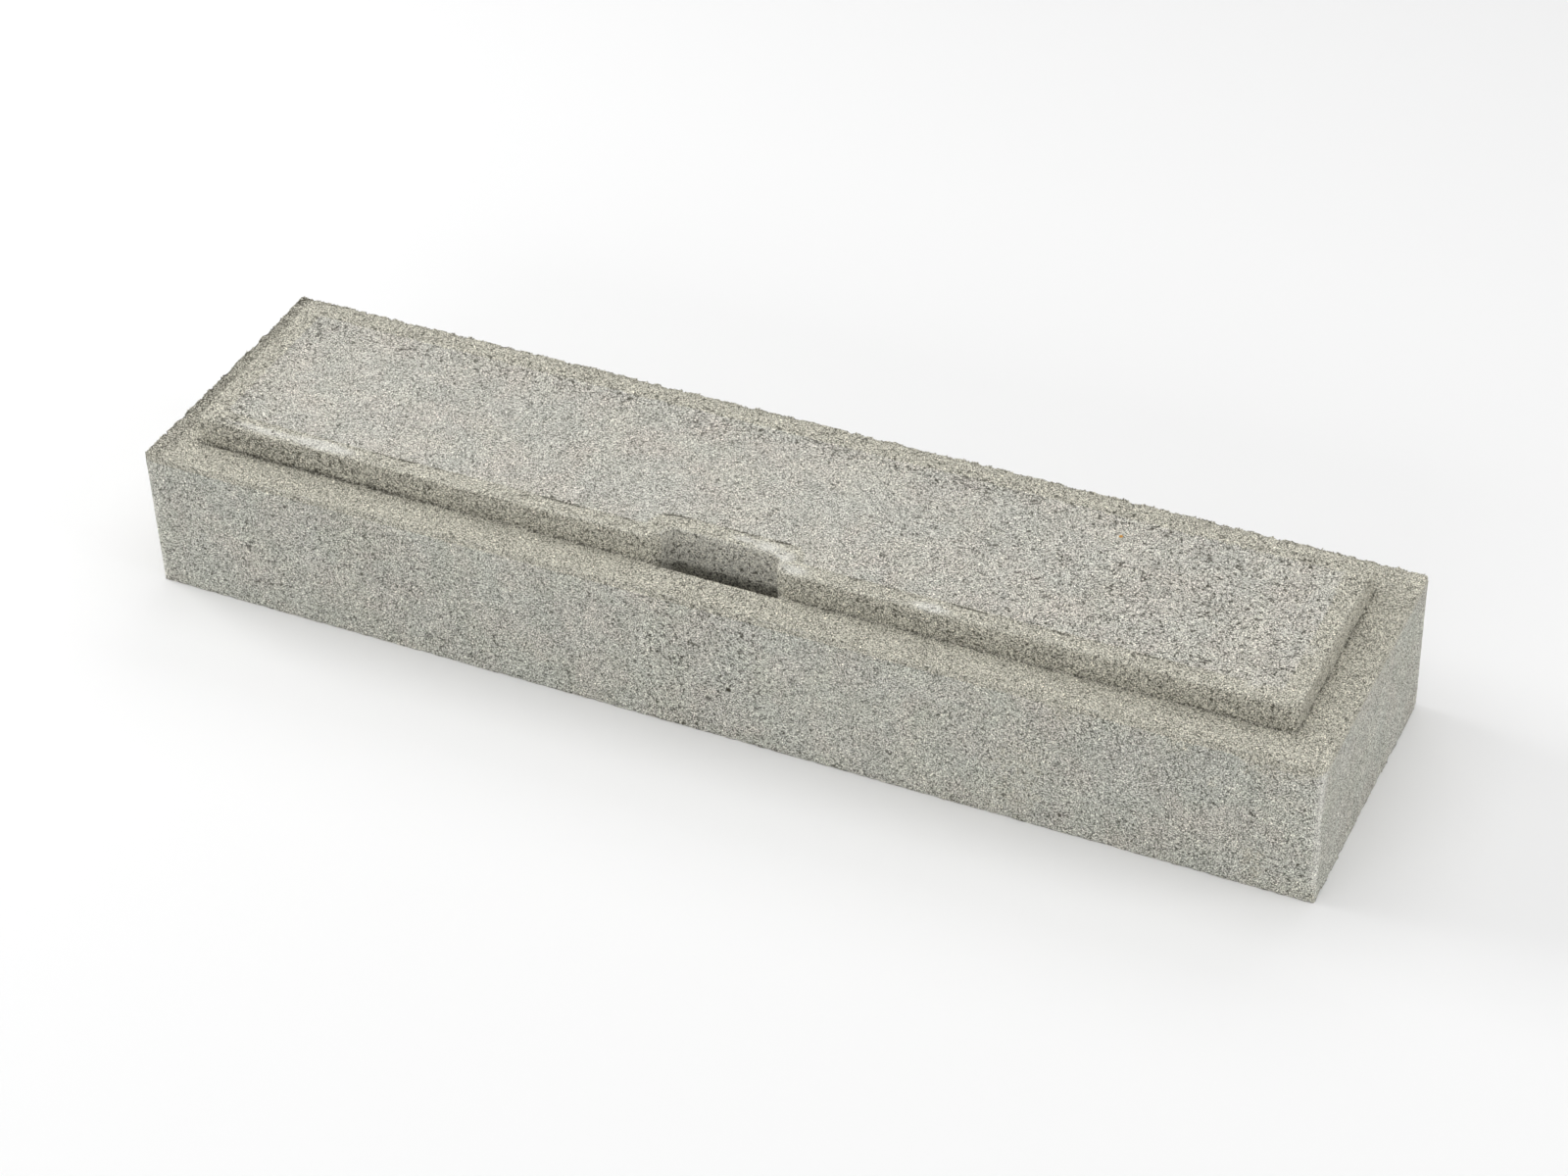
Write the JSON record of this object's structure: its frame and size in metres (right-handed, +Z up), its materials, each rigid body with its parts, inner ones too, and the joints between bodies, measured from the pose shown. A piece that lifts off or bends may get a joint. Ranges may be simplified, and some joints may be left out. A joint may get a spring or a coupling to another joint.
{
  "type": "low concrete barrier block",
  "caption": "Low rectangular precast concrete block with a raised top panel, a ledge all round it, and a lifting slot in the long front edge; light tied steel cage inside.",
  "frame": {"origin": "centre of the flat underside", "axes": "+X along the block, +Z up, the notch and slot on the -Y side"},
  "size_m": [1, 0.25, 0.152],
  "materials": {
    "cast_concrete": "matte dry-cast concrete, fine grained, light warm grey",
    "reinforcing_steel": "hot-rolled bar with mill scale and light rust",
    "annealed_wire": "black annealed wire",
    "spacer_mortar": "dense grey fibre mortar"
  },
  "bodies": {
    "root": {"concrete_block": "cast_concrete", "bottom_bar_front": "reinforcing_steel", "bottom_bar_rear": "reinforcing_steel", "top_bar_front_left": "reinforcing_steel", "top_bar_front_right": "reinforcing_steel", "top_bar_rear": "reinforcing_steel", "slot_trimmer": "reinforcing_steel", "link_1": "reinforcing_steel", "link_2": "reinforcing_steel", "link_3": "reinforcing_steel", "link_4": "reinforcing_steel", "link_5": "reinforcing_steel", "link_6": "reinforcing_steel", "tie_wires": "annealed_wire", "cover_spacer_front_left": "spacer_mortar", "cover_spacer_front_right": "spacer_mortar", "cover_spacer_rear_left": "spacer_mortar", "cover_spacer_rear_right": "spacer_mortar"}
  },
  "joints": []
}
